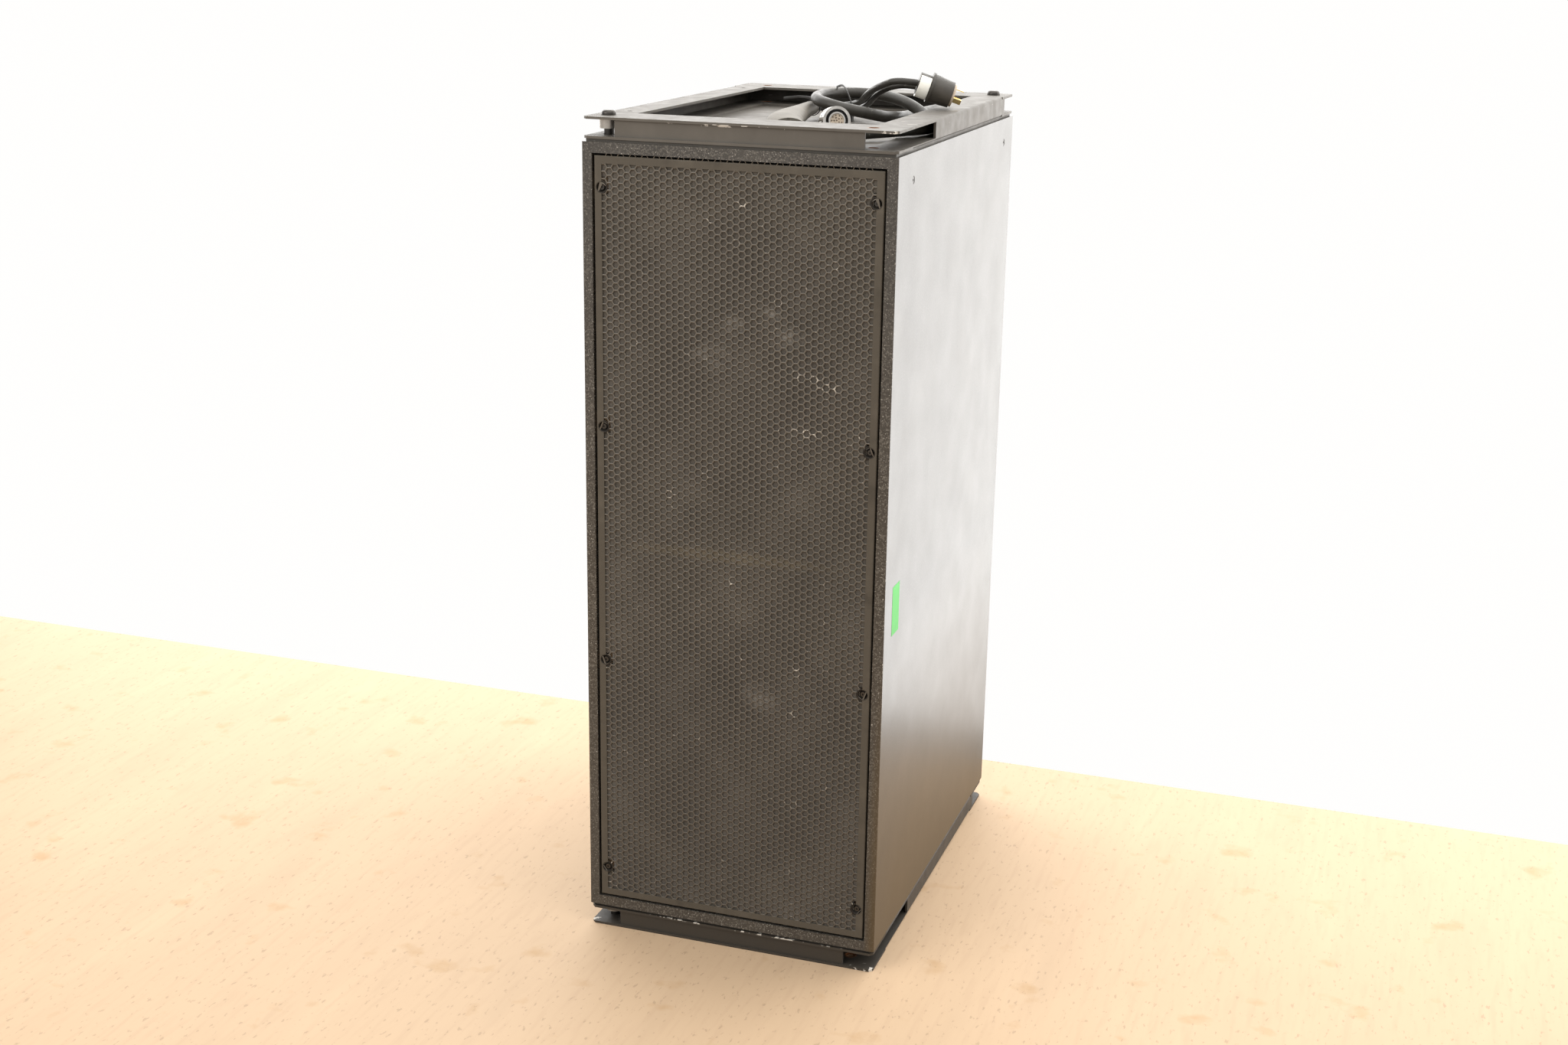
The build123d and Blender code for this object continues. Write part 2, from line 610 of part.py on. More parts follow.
def boot():
    """Tapered rubber breakout boot that joins the trunk to the two thin leads."""
    centres = [Vector(*well_point(s)) for s in BOOT_SECTIONS]
    sections = []
    for i, (_, _, _, half_w, half_h) in enumerate(BOOT_SECTIONS):
        before, after = centres[max(i - 1, 0)], centres[min(i + 1, len(centres) - 1)]
        plane = Plane(origin=centres[i], x_dir=(1, 0, 0), z_dir=after - before)
        sections.append(plane * Ellipse(half_w, half_h))
    nodes["breakout_boot"] = loft(sections)


def mains_plug():
    """Twist-lock plug: clamp, body with its flange, ivory face and three blades."""
    start, _ = lead_end(MAINS_ROUTE)
    axis = PLUG_AXIS
    body = rod(start, axis, 18.5, 20) + rod(along(start, axis, 20), axis, 25, 4)
    body += taper(along(start, axis, 24), axis, 23.5, 21, 34)
    clamp = ring(along(start, axis, 1), axis, 22, 18.5, 18)
    back_side = Plane(origin=along(start, axis, 10), x_dir=axis, z_dir=(0.1, 0.93, 0.35)).location
    clamp -= back_side * (Pos(0, 0, 24) * Box(40, 80, 26))
    upper_side = Plane(origin=along(start, axis, 10), x_dir=axis, z_dir=(0.3, 0.1, 0.95)).location
    clamp -= upper_side * (Pos(0, 0, 28) * Box(40, 80, 26))
    nodes["plug_body"] = body
    nodes["plug_clamp"] = clamp
    nodes["plug_face"] = rod(along(start, axis, 58), axis, 18.5, 4)
    face = Plane(origin=along(start, axis, 62), x_dir=(0, 0, 1), z_dir=axis)
    blades = []
    for i in range(3):
        blade = Pos(11.5, 0, 7) * Box(2, 9, 14)
        blades.append(face.location * (Rot(0, 0, 120 * i) * blade))
    nodes["plug_blades"] = group(blades)


def signal_plug():
    start, axis = lead_end(SIGNAL_ROUTE)
    plug = taper(start, axis, 6, 8, 10) + rod(along(start, axis, 10), axis, 9.5, 32)
    plug -= rod(along(start, axis, 30), axis, 8, 20)
    nodes["signal_plug"] = plug


def multipin_connector():
    """Round multi-pin connector: shell with its backshell, turning coupling ring and insert."""
    tail, out = lead_end(PIGTAIL_ROUTE, first=True)
    shell = taper(tail, out, 10, 15, 12) + rod(along(tail, out, 12), out, 17, 26)
    shell += rod(along(tail, out, 38), out, SHELL_R, 18)
    shell += ring(along(tail, out, 56), out, 13.6, INSERT_R, 11)
    nodes["connector_shell"] = shell
    collar = ring(along(tail, out, 40), out, 22.5, SHELL_R + 0.05, 26)
    for i in range(18):
        at = Plane(origin=along(tail, out, 48), z_dir=out).location
        collar -= at * (Rot(0, 0, 20 * i) * (Pos(23.2, 0, 0) * Cylinder(1.6, 16)))
    nodes["coupling_ring"] = collar
    insert = rod(along(tail, out, 56), out, INSERT_R, 9.5)
    face = Plane(origin=along(tail, out, 65.5), z_dir=out).location
    for radius, count in ((0, 1), (4.4, 5), (8.4, 9)):
        for i in range(count):
            hole = Rot(0, 0, 360 / count * i) * (Pos(radius, 0, 0) * Cylinder(1.15, 8))
            insert -= face * hole
    nodes["connector_insert"] = insert


def tie(centre, axis, inner, width=4.5):
    """A cable tie: band, head and cut tail."""
    band = ring(centre, axis, inner + 1.4, inner, width)
    frame = Plane(origin=along(centre, axis, width / 2), x_dir=(0, 0, 1), z_dir=axis).location
    head = frame * (Pos(inner + 3.2, 0, 0) * Box(5, 8, width + 1.5))
    return band + head


def cable_ties():
    tip, out = lead_end([(s[0], s[1], s[2]) for s in BOOT_SECTIONS])
    at_boot = tie(along(tip, out, 1.5), out, 12.4)
    nodes["cable_ties"] = group([at_boot])


def tape():
    """A strip of cloth tape on the right side, near the front edge."""
    x = (WIDTH / 2, WIDTH / 2 + 0.2)
    nodes["tape_strip"] = slab(x, (FRONT + 45, FRONT + 85), (BOX_LOW + 537, BOX_LOW + 619))


def build():
    for make in (side_panels, side_screws, end_panels, baffle, ports, rear_panel, mid_brace, grille, foam,
                 grille_blocks, panel_screws, drivers, end_plates, rails, corner_bolts, amp_plate, heat_sink,
                 amp_inside, sockets, power_rocker, leads, glands, boot, mains_plug, signal_plug,
                 multipin_connector, cable_ties, tape):
        make()
    os.makedirs("parts", exist_ok=True)
    for name, shape in nodes.items():
        export_step(shape, "parts/" + name + ".step")
    print(len(nodes), "nodes")


build()
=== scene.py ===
import json
from math import cos, pi, radians, sin, sqrt
import bmesh
import bpy
from mathutils import Matrix, Vector


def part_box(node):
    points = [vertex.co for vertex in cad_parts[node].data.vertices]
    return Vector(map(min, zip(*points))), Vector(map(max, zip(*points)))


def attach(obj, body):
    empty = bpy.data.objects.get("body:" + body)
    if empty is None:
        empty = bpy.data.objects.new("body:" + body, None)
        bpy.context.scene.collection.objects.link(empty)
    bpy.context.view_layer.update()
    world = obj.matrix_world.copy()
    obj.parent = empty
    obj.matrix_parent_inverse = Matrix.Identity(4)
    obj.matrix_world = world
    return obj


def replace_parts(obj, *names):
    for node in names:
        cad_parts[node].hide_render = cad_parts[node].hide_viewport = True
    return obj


# A touring loudspeaker cabinet stood on its end, in metres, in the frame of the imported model.
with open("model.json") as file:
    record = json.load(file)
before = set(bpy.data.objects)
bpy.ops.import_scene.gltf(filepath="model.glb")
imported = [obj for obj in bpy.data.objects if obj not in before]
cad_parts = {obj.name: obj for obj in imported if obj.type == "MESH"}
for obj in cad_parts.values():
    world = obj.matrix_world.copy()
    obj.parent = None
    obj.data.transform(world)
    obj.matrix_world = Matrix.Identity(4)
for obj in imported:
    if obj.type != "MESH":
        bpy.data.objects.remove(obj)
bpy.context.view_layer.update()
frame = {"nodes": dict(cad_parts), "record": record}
NODES = frame["nodes"]

# ---- sizes shared with the frame ----
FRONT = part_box("side_panel_left")[0].y
WELL_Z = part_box("end_plate_top")[1].z
BOX_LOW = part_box("side_panel_left")[0].z
MID_Z = (BOX_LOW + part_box("side_panel_left")[1].z) / 2
DRIVERS_Z = [sum((c.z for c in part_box(name + "_cone")), 0.0) / 2 for name in ("upper", "lower")]
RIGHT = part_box("side_panel_right")[1].x
FRAME_TOP = WELL_Z + 0.033   # just under the top of the upper rigging frame
# heights of the middles of the frames' four flanges, and one open rigging hole
FLANGE_MIDS = (0.002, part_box("rail_bottom_front")[1].z - 0.002, WELL_Z + 0.002, WELL_Z + 0.0315)
RIG_HOLE = next(mount["pos_m"] for mount in frame["record"]["mounts"]
                if mount["name"] == "rig_hole_top_front_right")

# ---- perforated grille ----
HEX_PITCH = 0.0115         # between the centres of neighbouring holes
WEB = 0.0021
RIM = 0.012                # plain border
SHEET_T = 0.0015
CUP_R = 0.00775
CUP_DEPTH = 0.005
CUP_WALL = 0.0012
CUP_X = 0.222
CUP_HEIGHTS = (0.072, 0.449, 0.846, 1.227)   # above the box's underside

# ---- wear on the grille and dust on the foam: (centre, half size) ----
SCUFFS = [
    ((0.120, FRONT, 0.992), (0.034, 0.02, 0.009)), ((0.155, FRONT, 0.980), (0.026, 0.02, 0.010)),
    ((0.118, FRONT, 0.906), (0.034, 0.02, 0.010)), ((0.205, FRONT, 0.910), (0.008, 0.02, 0.010)),
    ((-0.106, FRONT, 0.785), (0.009, 0.02, 0.012)), ((-0.002, FRONT, 0.646), (0.006, 0.02, 0.012)),
    ((0.110, FRONT, 0.510), (0.014, 0.02, 0.009)), ((0.105, FRONT, 0.432), (0.012, 0.02, 0.012)),
    ((0.008, FRONT, 1.251), (0.028, 0.02, 0.006))]
DUST = [
    ((-0.002, FRONT, 1.066), (0.022, 0.05, 0.020)), ((0.055, FRONT, 1.085), (0.030, 0.05, 0.020)),
    ((0.085, FRONT, 1.052), (0.036, 0.05, 0.022)), ((-0.041, FRONT, 1.010), (0.040, 0.05, 0.030)),
    ((0.048, FRONT, 0.458), (0.040, 0.05, 0.030))]


# ---- material helpers ----
class Graph:
    """One material's node tree, with its object coordinates and its shader at hand."""

    def __init__(self, name, color, roughness, metallic=0.0):
        self.material = bpy.data.materials.new(name)
        self.material.use_nodes = True
        self.tree = self.material.node_tree
        self.shader = self.tree.nodes["Principled BSDF"]
        self.shader.inputs["Base Color"].default_value = (*color, 1)
        self.shader.inputs["Roughness"].default_value = roughness
        self.shader.inputs["Metallic"].default_value = metallic
        self.place = self.tree.nodes.new("ShaderNodeTexCoord").outputs["Object"]
        self.color = color
        self.normal = None

    def link(self, a, b):
        self.tree.links.new(a, b)

    def noise(self, scale, detail=3.0, stretch=(1, 1, 1), offset=(0, 0, 0)):
        """Noise from 0 to 1, about 0.5; scale is its features per metre."""
        mapping = self.tree.nodes.new("ShaderNodeMapping")
        mapping.inputs["Scale"].default_value = stretch
        mapping.inputs["Location"].default_value = offset
        self.link(self.place, mapping.inputs["Vector"])
        node = self.tree.nodes.new("ShaderNodeTexNoise")
        node.inputs["Scale"].default_value = scale
        node.inputs["Detail"].default_value = detail
        self.link(mapping.outputs["Vector"], node.inputs["Vector"])
        return node.outputs["Fac"]

    def remap(self, value, low, high, to_low=0.0, to_high=1.0):
        """Stretches a range of values, and clamps what is outside it."""
        node = self.tree.nodes.new("ShaderNodeMapRange")
        node.inputs["From Min"].default_value = low
        node.inputs["From Max"].default_value = high
        node.inputs["To Min"].default_value = to_low
        node.inputs["To Max"].default_value = to_high
        self.link(value, node.inputs["Value"])
        return node.outputs["Result"]

    def math(self, operation, a, b):
        """Joins a socket with another socket or with a number."""
        node = self.tree.nodes.new("ShaderNodeMath")
        node.operation = operation
        self.link(a, node.inputs[0])
        if isinstance(b, float):
            node.inputs[1].default_value = b
        else:
            self.link(b, node.inputs[1])
        return node.outputs[0]

    def height(self, low, high):
        """0 below one height and 1 above another."""
        node = self.tree.nodes.new("ShaderNodeSeparateXYZ")
        self.link(self.place, node.inputs[0])
        return self.remap(node.outputs["Z"], low, high)

    def near(self, centre, size, soft=0.35):
        """1 inside an ellipsoid at centre with these half sizes, falling to 0 at its edge."""
        shift = self.tree.nodes.new("ShaderNodeMapping")
        shift.inputs["Scale"].default_value = [1 / s for s in size]
        shift.inputs["Location"].default_value = [-c / s for c, s in zip(centre, size)]
        self.link(self.place, shift.inputs["Vector"])
        length = self.tree.nodes.new("ShaderNodeVectorMath")
        length.operation = "LENGTH"
        self.link(shift.outputs["Vector"], length.inputs[0])
        return self.remap(length.outputs["Value"], 1.0, 1.0 - soft)

    def paint(self, mask, color):
        """Lays a colour over what is there, where the mask is 1."""
        mix = self.tree.nodes.new("ShaderNodeMix")
        mix.data_type = "RGBA"
        self.link(mask, mix.inputs[0])
        socket = self.shader.inputs["Base Color"]
        if socket.links:
            self.link(socket.links[0].from_socket, mix.inputs[6])
        else:
            mix.inputs[6].default_value = (*self.color, 1)
        mix.inputs[7].default_value = (*color, 1)
        self.link(mix.outputs[2], socket)
        return self

    def mottle(self, scale, amount, stretch=(1, 1, 1)):
        """Slow light and dark variation of the colour."""
        field = self.noise(scale, 4, stretch)
        self.paint(self.remap(field, 0.45, 0.28), [c * (1 - amount) for c in self.color])
        self.paint(self.remap(field, 0.55, 0.75), [min(1, c * (1 + amount)) for c in self.color])
        return self

    def gloss(self, scale, low, high):
        """Roughness that wanders between two values."""
        self.link(self.remap(self.noise(scale, 3), 0.3, 0.7, low, high), self.shader.inputs["Roughness"])
        return self

    def bump(self, scale, height, detail=2.0, stretch=(1, 1, 1)):
        """Adds small relief on top of any that is there."""
        node = self.tree.nodes.new("ShaderNodeBump")
        node.inputs["Strength"].default_value = 1.0
        node.inputs["Distance"].default_value = height
        self.link(self.noise(scale, detail, stretch), node.inputs["Height"])
        if self.normal is not None:
            self.link(self.normal, node.inputs["Normal"])
        self.normal = node.outputs["Normal"]
        self.link(self.normal, self.shader.inputs["Normal"])
        return self

    def set(self, **values):
        """Sets values on the shader's own sockets."""
        for name, value in values.items():
            self.shader.inputs[name.replace("_", " ")].default_value = value
        return self


# ---- materials ----
def cabinet_paint():
    """Worn black paint, grainy and chipped on the front edge, with the brown floor's reflection painted low
    down on the right side.
    """
    g = Graph("cabinet_paint", (0.036, 0.031, 0.025), 0.36)
    g.mottle(9, 0.25).bump(600, 0.00005, 3)
    g.paint(g.remap(g.noise(330, 2), 0.54, 0.64), (0.050, 0.045, 0.038))
    g.paint(g.remap(g.noise(150, 6), 0.64, 0.70), (0.020, 0.017, 0.014))
    front_edge = g.near((0, FRONT, MID_Z), (0.5, 0.008, 1.2), 0.5)
    grain = g.remap(g.noise(300, 2, offset=(5, 2, 7)), 0.52, 0.62)
    g.paint(g.math("MULTIPLY", front_edge, grain), (0.092, 0.083, 0.070))
    specks = g.remap(g.noise(420, 1, offset=(3, 1, 2)), 0.64, 0.72)
    g.paint(g.math("MULTIPLY", front_edge, specks), (0.36, 0.34, 0.30))
    low_down = g.height(0.50, 0.15)
    # painted reflection: the brown of the floor painted onto the lower part of the right side panel
    floor_reflection_right = g.near((RIGHT, 0, 0.05), (0.02, 0.9, 0.55), 0.7)
    g.paint(g.math("MULTIPLY", floor_reflection_right, 0.9), (0.070, 0.043, 0.013))
    gloss = g.remap(g.noise(12), 0.3, 0.7, 0.34, 0.38)
    g.link(g.math("ADD", gloss, g.math("MULTIPLY", low_down, 0.14)), g.shader.inputs["Roughness"])
    g.set(Specular_IOR_Level=0.52)
    return g.material


def edge_wear(g, places, color):
    """Chips where the noise is high, near the given (centre, half size) places."""
    for centre, size in places:
        field = g.math("MULTIPLY", g.near(centre, size), g.remap(g.noise(75, 6), 0.56, 0.60))
        g.paint(field, color)


def rail_paint():
    """Grey-black frame paint with white chips at its edges and rust round the open rigging holes."""
    g = Graph("rail_paint", (0.088, 0.079, 0.067), 0.55)
    g.mottle(14, 0.18).gloss(40, 0.48, 0.62).bump(420, 0.00006).bump(22, 0.0003)
    g.set(Specular_IOR_Level=0.30)
    g.paint(g.remap(g.noise(160, 5, (0.25, 0.25, 1)), 0.70, 0.74), (0.20, 0.185, 0.165))
    g.paint(g.height(0.30, 0.02), (0.040, 0.034, 0.027))
    front = FRONT + 0.002
    white = (0.55, 0.52, 0.47)
    edge_wear(g, [((0.00, front, FRAME_TOP - 0.0045), (0.16, 0.004, 0.0024)),
                  ((0.02, front, 0.034), (0.20, 0.004, 0.0030)),
                  ((0.235, front, FRAME_TOP - 0.002), (0.02, 0.006, 0.005)),
                  ((0.24, front, 0.004), (0.03, 0.02, 0.006)),
                  ((-0.24, front, 0.004), (0.03, 0.02, 0.006))], white)
    rust = (0.20, 0.075, 0.022)
    for side in (1, -1):
        for z in FLANGE_MIDS:
            ring = g.near((side * RIG_HOLE[0], side * RIG_HOLE[1], z), (0.0125, 0.0125, 0.006), 0.4)
            g.paint(g.math("MULTIPLY", ring, g.remap(g.noise(160, 4), 0.30, 0.42)), rust)
    return g.material


def grille_paint():
    """Dusty brown-black, darker low down, with scuffs and chips to bare metal."""
    g = Graph("grille_paint", (0.086, 0.074, 0.058), 0.46)
    g.mottle(7, 0.16).gloss(30, 0.40, 0.54).bump(600, 0.00008)
    g.paint(g.math("MULTIPLY", g.height(0.9, 0.15), 0.6), (0.056, 0.046, 0.036))
    bare = (0.46, 0.42, 0.36)
    for centre, size in SCUFFS:
        field = g.math("MULTIPLY", g.near(centre, size, 0.8), g.remap(g.noise(150, 2), 0.50, 0.58))
        g.paint(field, bare)
    chips = g.math("MULTIPLY", g.remap(g.noise(34, 2), 0.60, 0.66), g.remap(g.noise(260, 3), 0.62, 0.66))
    g.paint(chips, (0.26, 0.235, 0.20))
    for side in (-1, 1):
        worn = g.near((side * CUP_X, FRONT, BOX_LOW + CUP_HEIGHTS[0] + 0.008), (0.010, 0.01, 0.006), 0.5)
        g.paint(g.math("MULTIPLY", worn, g.remap(g.noise(300, 2), 0.40, 0.5)), (0.55, 0.51, 0.45))
    return g.material


def foam_cloth():
    """Open foam that shows the drivers' rings, the brace between them and clouds of dust."""
    g = Graph("foam_cloth", (0.066, 0.056, 0.043), 0.95)
    g.mottle(5, 0.30).bump(1500, 0.0005, 4)
    g.set(Sheen_Weight=0.3, Sheen_Roughness=0.6)
    for z in DRIVERS_Z:
        outer = g.near((0, FRONT, z), (0.225, 1.0, 0.225), 0.06)
        g.paint(g.math("MULTIPLY", outer, 0.55), (0.048, 0.040, 0.031))
    brace = g.near((-0.01, FRONT, MID_Z + 0.003), (0.215, 1.0, 0.013), 0.5)
    g.paint(g.math("MULTIPLY", brace, 0.65), (0.115, 0.093, 0.058))
    for centre, size in DUST:
        cloud = g.math("MULTIPLY", g.near(centre, size, 1.0), g.remap(g.noise(60, 3), 0.35, 0.65))
        g.paint(g.math("MULTIPLY", cloud, 0.7), (0.24, 0.22, 0.19))
    return g.material


def dull_paint(name, color):
    """The grille's paint where it has no shine: its border, its dished cups, painted darker as shade, and
    the walls of its holes, painted lighter as a highlight.
    """
    g = Graph(name, color, 0.6)
    g.mottle(25, 0.25).bump(600, 0.00006).set(Specular_IOR_Level=0.2)
    return g.material


def plain(name, color, roughness, metallic=0.0, scale=30, amount=0.15, bump=(500, 0.00008), **shader):
    """A finish with no features of its own: mottled colour, uneven gloss and fine relief."""
    g = Graph(name, color, roughness, metallic)
    g.mottle(scale, amount)
    g.gloss(scale * 2, roughness * 0.8, min(1.0, roughness * 1.25))
    g.bump(*bump)
    return g.set(**shader).material


def cable_rubber():
    g = Graph("cable_rubber", (0.030, 0.027, 0.022), 0.42)
    g.mottle(45, 0.35).gloss(90, 0.34, 0.52).bump(260, 0.0001)
    g.paint(g.remap(g.noise(130, 5), 0.66, 0.72), (0.085, 0.078, 0.066))
    g.set(Specular_IOR_Level=0.35)
    return g.material


def boot_rubber():
    g = Graph("boot_rubber", (0.125, 0.112, 0.092), 0.6)
    g.mottle(22, 0.3).bump(300, 0.0001)
    g.paint(g.remap(g.noise(60, 5), 0.62, 0.70), (0.07, 0.062, 0.05))
    g.set(Specular_IOR_Level=0.3)
    return g.material


def cloth_tape():
    g = Graph("cloth_tape", (0.045, 0.40, 0.055), 0.62)
    g.mottle(25, 0.12)
    weave = g.tree.nodes.new("ShaderNodeTexWave")
    weave.inputs["Scale"].default_value = 420
    g.link(g.place, weave.inputs["Vector"])
    bump = g.tree.nodes.new("ShaderNodeBump")
    bump.inputs["Distance"].default_value = 0.00015
    g.link(weave.outputs["Fac"], bump.inputs["Height"])
    g.link(bump.outputs["Normal"], g.shader.inputs["Normal"])
    return g.material


def plywood():
    g = Graph("plywood", (0.42, 0.29, 0.17), 0.6)
    g.mottle(30, 0.3, (1, 1, 12)).bump(200, 0.0002, 3, (1, 1, 8))
    return g.material


FINISHES = {
    "painted_ply": cabinet_paint(),
    "bare_ply": plywood(),
    "grille_steel": grille_paint(),
    "foam": foam_cloth(),
    "frame_steel": rail_paint(),
    "dark_steel": plain("dark_steel", (0.055, 0.050, 0.045), 0.36, 0.8, 80, 0.25),
    "bare_steel": plain("bare_steel", (0.42, 0.39, 0.35), 0.38, 0.9, 60, 0.25),
    "cast_basket": plain("cast_basket", (0.07, 0.07, 0.075), 0.5, 0.2),
    "magnet": plain("magnet", (0.045, 0.045, 0.05), 0.5, 0.3),
    "paper": plain("paper", (0.030, 0.030, 0.030), 0.85, 0.0, 120, 0.3, (900, 0.0003)),
    "soft_rubber": plain("soft_rubber", (0.022, 0.022, 0.022), 0.6),
    "black_plastic": plain("black_plastic", (0.035, 0.033, 0.031), 0.42),
    "red_plastic": plain("red_plastic", (0.42, 0.02, 0.015), 0.28),
    "amp_paint": plain("amp_paint", (0.040, 0.039, 0.037), 0.45, 0.0, 20, 0.2, (900, 0.00015)),
    "alloy": plain("alloy", (0.055, 0.055, 0.06), 0.36, 0.7),
    "board": plain("board", (0.03, 0.12, 0.05), 0.5),
    "lens": plain("lens", (0.08, 0.55, 0.15), 0.15, Transmission_Weight=0.5),
    "cable_rubber": cable_rubber(),
    "boot_rubber": boot_rubber(),
    "plug_black": plain("plug_black", (0.036, 0.031, 0.024), 0.48, 0.0, 60, 0.3, (300, 0.0001)),
    "plug_white": plain("plug_white", (0.80, 0.78, 0.71), 0.35, 0.0, 60, 0.12, (300, 0.00008)),
    "plug_ivory": plain("plug_ivory", (0.46, 0.38, 0.29), 0.55, 0.0, 90, 0.25),
    "brass": plain("brass", (0.78, 0.62, 0.30), 0.25, 1.0, 60, 0.15),
    "chrome": plain("chrome", (0.46, 0.44, 0.41), 0.18, 1.0, 90, 0.25, (400, 0.00003)),
    "tape": cloth_tape(),
}


def repaint(piece, material):
    piece.data.materials.clear()
    piece.data.materials.append(material)


for part in frame["record"]["subparts"]:
    repaint(NODES[part["node"]], FINISHES[part["material_slot"]])


def new_piece(name, bm, slot, smooth=False):
    """Makes a piece of the cabinet's body from a bmesh."""
    mesh = bpy.data.meshes.new(name)
    bm.to_mesh(mesh)
    bm.free()
    piece = bpy.data.objects.new(name, mesh)
    bpy.context.scene.collection.objects.link(piece)
    for face in mesh.polygons:
        face.use_smooth = smooth
    repaint(piece, FINISHES[slot])
    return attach(piece, "cabinet")


# ---- grille: perforated sheet, plain border and dished cups ----
GRILLE_LOW, GRILLE_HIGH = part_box("grille_panel")
CUPS = [(side * CUP_X, BOX_LOW + h) for side in (-1, 1) for h in CUP_HEIGHTS]


def pushed_clear(x, z):
    """Moves a point out of any cup that it falls in, to that cup's wall."""
    for cx, cz in CUPS:
        d = sqrt((x - cx) ** 2 + (z - cz) ** 2)
        if 1e-9 < d < CUP_R + CUP_WALL:
            k = (CUP_R + CUP_WALL) / d
            return cx + (x - cx) * k, cz + (z - cz) * k
    return x, z


def perforated_sheet():
    """Hexagonal holes in upright columns; each web is ridged a little towards the front."""
    bm = bmesh.new()
    outer = HEX_PITCH / sqrt(3)
    inner = (HEX_PITCH - WEB) / sqrt(3)
    column = HEX_PITCH * sqrt(3) / 2
    y = GRILLE_LOW.y + 0.0003
    half = GRILLE_HIGH.x - RIM + outer
    low, high = GRILLE_LOW.z + RIM - HEX_PITCH / 2, GRILLE_HIGH.z - RIM + HEX_PITCH / 2
    columns = int(half / column)
    rows = int((high - low) / HEX_PITCH) + 1
    for i in range(-columns, columns + 1):
        for j in range(rows):
            cx = i * column
            cz = low + (j + 0.5 * (i % 2)) * HEX_PITCH
            loops = []
            for radius, depth in ((outer, 0.0), (inner, 0.0004), (inner, SHEET_T)):
                loop = []
                for k in range(6):
                    x, z = pushed_clear(cx + radius * cos(k * pi / 3), cz + radius * sin(k * pi / 3))
                    loop.append(bm.verts.new((x, y + depth, z)))
                loops.append(loop)
            for a, b in zip(loops, loops[1:]):
                for k in range(6):
                    bm.faces.new((a[k], a[(k + 1) % 6], b[(k + 1) % 6], b[k]))
    bmesh.ops.dissolve_degenerate(bm, dist=1e-6, edges=bm.edges)
    sheet = new_piece("grille_sheet", bm, "grille_steel")
    # the hole walls take a paint lighter than the sheet: a painted highlight for the light lines along the
    # webs
    sheet.data.materials.append(dull_paint("hole_walls_painted_highlight", (0.15, 0.132, 0.106)))
    for face in sheet.data.polygons:
        face.material_index = int(abs(face.normal.y) < 0.3)
    return sheet


def ring_wall(bm, centre, rings, steps=32):
    """A turned surface about Y from (radius, y) rings."""
    loops = []
    for radius, y in rings:
        loops.append([bm.verts.new((centre[0] + radius * cos(2 * pi * k / steps), y,
                                    centre[1] + radius * sin(2 * pi * k / steps))) for k in range(steps)])
    for a, b in zip(loops, loops[1:]):
        for k in range(steps):
            bm.faces.new((a[k], b[k], b[(k + 1) % steps], a[(k + 1) % steps]))


def grille_border():
    """Folded edge of the grille: plain border with rounded outer corners, and a short return all round."""
    x0, x1 = GRILLE_LOW.x, GRILLE_HIGH.x
    z0, z1 = GRILLE_LOW.z, GRILLE_HIGH.z
    y0, y1 = GRILLE_LOW.y, GRILLE_HIGH.y
    depth = y1 - y0
    steps = ((RIM, 0.0), (0.0015, 0.0), (0.0005, 0.0005), (0.0, 0.0015), (0.0, depth), (SHEET_T, depth),
             (SHEET_T, SHEET_T), (RIM, SHEET_T))
    bm = bmesh.new()
    loops = []
    for inset, back in steps:
        corners = ((x0 + inset, z0 + inset), (x1 - inset, z0 + inset),
                   (x1 - inset, z1 - inset), (x0 + inset, z1 - inset))
        loops.append([bm.verts.new((x, y0 + back, z)) for x, z in corners])
    for a, b in zip(loops, loops[1:] + loops[:1]):
        for k in range(4):
            bm.faces.new((a[k], b[k], b[(k + 1) % 4], a[(k + 1) % 4]))
    border = new_piece("grille_border", bm, "grille_steel")
    cutter_mesh = bmesh.new()
    opening = CUP_R + 0.0006
    for cx, cz in CUPS:
        spot = Matrix.Translation((cx, y0, cz)) @ Matrix.Rotation(pi / 2, 4, "X")
        bmesh.ops.create_cone(cutter_mesh, cap_ends=True, segments=32, radius1=opening,
                              radius2=opening, depth=0.006, matrix=spot)
    cutter = new_piece("grille_cutter", cutter_mesh, "grille_steel")
    cut = border.modifiers.new("cups", "BOOLEAN")
    cut.object = cutter
    cut.solver = "EXACT"
    bpy.context.view_layer.update()
    shaped = bpy.data.meshes.new_from_object(border.evaluated_get(bpy.context.evaluated_depsgraph_get()))
    border.modifiers.clear()
    border.data = shaped
    repaint(border, dull_paint("border_paint", (0.074, 0.064, 0.050)))
    bpy.data.objects.remove(cutter)


def grille_cups():
    """Eight dished cups, each open in the middle for its screw."""
    bm = bmesh.new()
    y = GRILLE_LOW.y
    floor_y = y + CUP_DEPTH
    profile = ((CUP_R + 0.0032, y + 0.0006), (CUP_R + 0.0012, y - 0.0001), (CUP_R, y + 0.0005),
               (CUP_R - 0.0006, floor_y - 0.001), (CUP_R - 0.0016, floor_y), (0.0028, floor_y))
    for centre in CUPS:
        ring_wall(bm, centre, profile)
    cups = new_piece("grille_cups", bm, "grille_steel", smooth=True)
    # the cups take a far darker copy of the grille's paint: painted shade in their recesses
    repaint(cups, dull_paint("cup_painted_shade", (0.016, 0.013, 0.010)))


sheet = perforated_sheet()
grille_border()
grille_cups()
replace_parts(sheet, "grille_panel")


